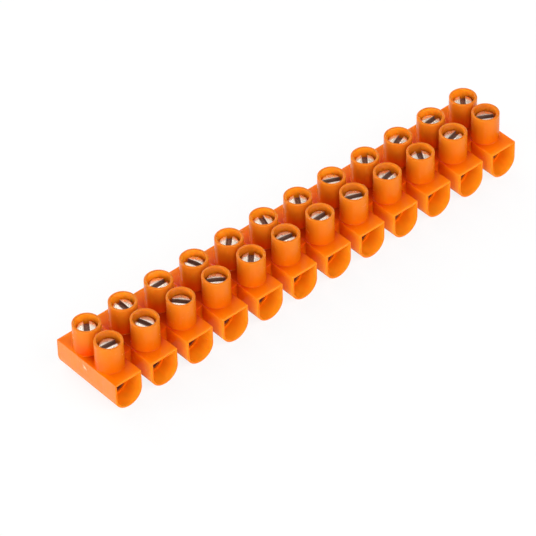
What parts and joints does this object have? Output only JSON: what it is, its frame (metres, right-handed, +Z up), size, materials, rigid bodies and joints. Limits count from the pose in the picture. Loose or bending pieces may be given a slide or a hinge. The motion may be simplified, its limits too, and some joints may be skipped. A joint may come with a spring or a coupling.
{
  "type": "terminal strip",
  "caption": "Row of joined plastic poles, each clamping two wires end to end in a metal insert with slotted screws sunk in round towers.",
  "frame": {"origin": "middle of the row, on the plane that the round bases of the poles rest on", "axes": "+X along the row of poles, +Y across it from wire mouth to wire mouth, +Z up along the screws"},
  "size_m": [0.1172, 0.0196, 0.015],
  "materials": {
    "housing_plastic": "smooth moulded orange plastic, slightly translucent",
    "insert_metal": "plain machined brass",
    "screw_steel": "zinc plated steel"
  },
  "bodies": {
    "strip": {"housing": "housing_plastic", "insert_01": "insert_metal", "insert_02": "insert_metal", "insert_03": "insert_metal", "insert_04": "insert_metal", "insert_05": "insert_metal", "insert_06": "insert_metal", "insert_07": "insert_metal", "insert_08": "insert_metal", "insert_09": "insert_metal", "insert_10": "insert_metal", "insert_11": "insert_metal", "insert_12": "insert_metal"},
    "screw_front_01": {"screw_front_01": "screw_steel"},
    "screw_front_02": {"screw_front_02": "screw_steel"},
    "screw_front_03": {"screw_front_03": "screw_steel"},
    "screw_front_04": {"screw_front_04": "screw_steel"},
    "screw_front_05": {"screw_front_05": "screw_steel"},
    "screw_front_06": {"screw_front_06": "screw_steel"},
    "screw_front_07": {"screw_front_07": "screw_steel"},
    "screw_front_08": {"screw_front_08": "screw_steel"},
    "screw_front_09": {"screw_front_09": "screw_steel"},
    "screw_front_10": {"screw_front_10": "screw_steel"},
    "screw_front_11": {"screw_front_11": "screw_steel"},
    "screw_front_12": {"screw_front_12": "screw_steel"},
    "screw_back_01": {"screw_back_01": "screw_steel"},
    "screw_back_02": {"screw_back_02": "screw_steel"},
    "screw_back_03": {"screw_back_03": "screw_steel"},
    "screw_back_04": {"screw_back_04": "screw_steel"},
    "screw_back_05": {"screw_back_05": "screw_steel"},
    "screw_back_06": {"screw_back_06": "screw_steel"},
    "screw_back_07": {"screw_back_07": "screw_steel"},
    "screw_back_08": {"screw_back_08": "screw_steel"},
    "screw_back_09": {"screw_back_09": "screw_steel"},
    "screw_back_10": {"screw_back_10": "screw_steel"},
    "screw_back_11": {"screw_back_11": "screw_steel"},
    "screw_back_12": {"screw_back_12": "screw_steel"}
  },
  "joints": [
    {"name": "screw_front_01_travel", "type": "slide", "parent": "strip", "child": "screw_front_01", "axis": [0, 0, 1], "range_m": [-0.0036, 0.0008]},
    {"name": "screw_front_02_travel", "type": "slide", "parent": "strip", "child": "screw_front_02", "axis": [0, 0, 1], "range_m": [-0.0036, 0.0008]},
    {"name": "screw_front_03_travel", "type": "slide", "parent": "strip", "child": "screw_front_03", "axis": [0, 0, 1], "range_m": [-0.0036, 0.0008]},
    {"name": "screw_front_04_travel", "type": "slide", "parent": "strip", "child": "screw_front_04", "axis": [0, 0, 1], "range_m": [-0.0036, 0.0008]},
    {"name": "screw_front_05_travel", "type": "slide", "parent": "strip", "child": "screw_front_05", "axis": [0, 0, 1], "range_m": [-0.0036, 0.0008]},
    {"name": "screw_front_06_travel", "type": "slide", "parent": "strip", "child": "screw_front_06", "axis": [0, 0, 1], "range_m": [-0.0036, 0.0008]},
    {"name": "screw_front_07_travel", "type": "slide", "parent": "strip", "child": "screw_front_07", "axis": [0, 0, 1], "range_m": [-0.0036, 0.0008]},
    {"name": "screw_front_08_travel", "type": "slide", "parent": "strip", "child": "screw_front_08", "axis": [0, 0, 1], "range_m": [-0.0036, 0.0008]},
    {"name": "screw_front_09_travel", "type": "slide", "parent": "strip", "child": "screw_front_09", "axis": [0, 0, 1], "range_m": [-0.0036, 0.0008]},
    {"name": "screw_front_10_travel", "type": "slide", "parent": "strip", "child": "screw_front_10", "axis": [0, 0, 1], "range_m": [-0.0036, 0.0008]},
    {"name": "screw_front_11_travel", "type": "slide", "parent": "strip", "child": "screw_front_11", "axis": [0, 0, 1], "range_m": [-0.0036, 0.0008]},
    {"name": "screw_front_12_travel", "type": "slide", "parent": "strip", "child": "screw_front_12", "axis": [0, 0, 1], "range_m": [-0.0036, 0.0008]},
    {"name": "screw_back_01_travel", "type": "slide", "parent": "strip", "child": "screw_back_01", "axis": [0, 0, 1], "range_m": [-0.0036, 0.0008]},
    {"name": "screw_back_02_travel", "type": "slide", "parent": "strip", "child": "screw_back_02", "axis": [0, 0, 1], "range_m": [-0.0036, 0.0008]},
    {"name": "screw_back_03_travel", "type": "slide", "parent": "strip", "child": "screw_back_03", "axis": [0, 0, 1], "range_m": [-0.0036, 0.0008]},
    {"name": "screw_back_04_travel", "type": "slide", "parent": "strip", "child": "screw_back_04", "axis": [0, 0, 1], "range_m": [-0.0036, 0.0008]},
    {"name": "screw_back_05_travel", "type": "slide", "parent": "strip", "child": "screw_back_05", "axis": [0, 0, 1], "range_m": [-0.0036, 0.0008]},
    {"name": "screw_back_06_travel", "type": "slide", "parent": "strip", "child": "screw_back_06", "axis": [0, 0, 1], "range_m": [-0.0036, 0.0008]},
    {"name": "screw_back_07_travel", "type": "slide", "parent": "strip", "child": "screw_back_07", "axis": [0, 0, 1], "range_m": [-0.0036, 0.0008]},
    {"name": "screw_back_08_travel", "type": "slide", "parent": "strip", "child": "screw_back_08", "axis": [0, 0, 1], "range_m": [-0.0036, 0.0008]},
    {"name": "screw_back_09_travel", "type": "slide", "parent": "strip", "child": "screw_back_09", "axis": [0, 0, 1], "range_m": [-0.0036, 0.0008]},
    {"name": "screw_back_10_travel", "type": "slide", "parent": "strip", "child": "screw_back_10", "axis": [0, 0, 1], "range_m": [-0.0036, 0.0008]},
    {"name": "screw_back_11_travel", "type": "slide", "parent": "strip", "child": "screw_back_11", "axis": [0, 0, 1], "range_m": [-0.0036, 0.0008]},
    {"name": "screw_back_12_travel", "type": "slide", "parent": "strip", "child": "screw_back_12", "axis": [0, 0, 1], "range_m": [-0.0036, 0.0008]}
  ]
}
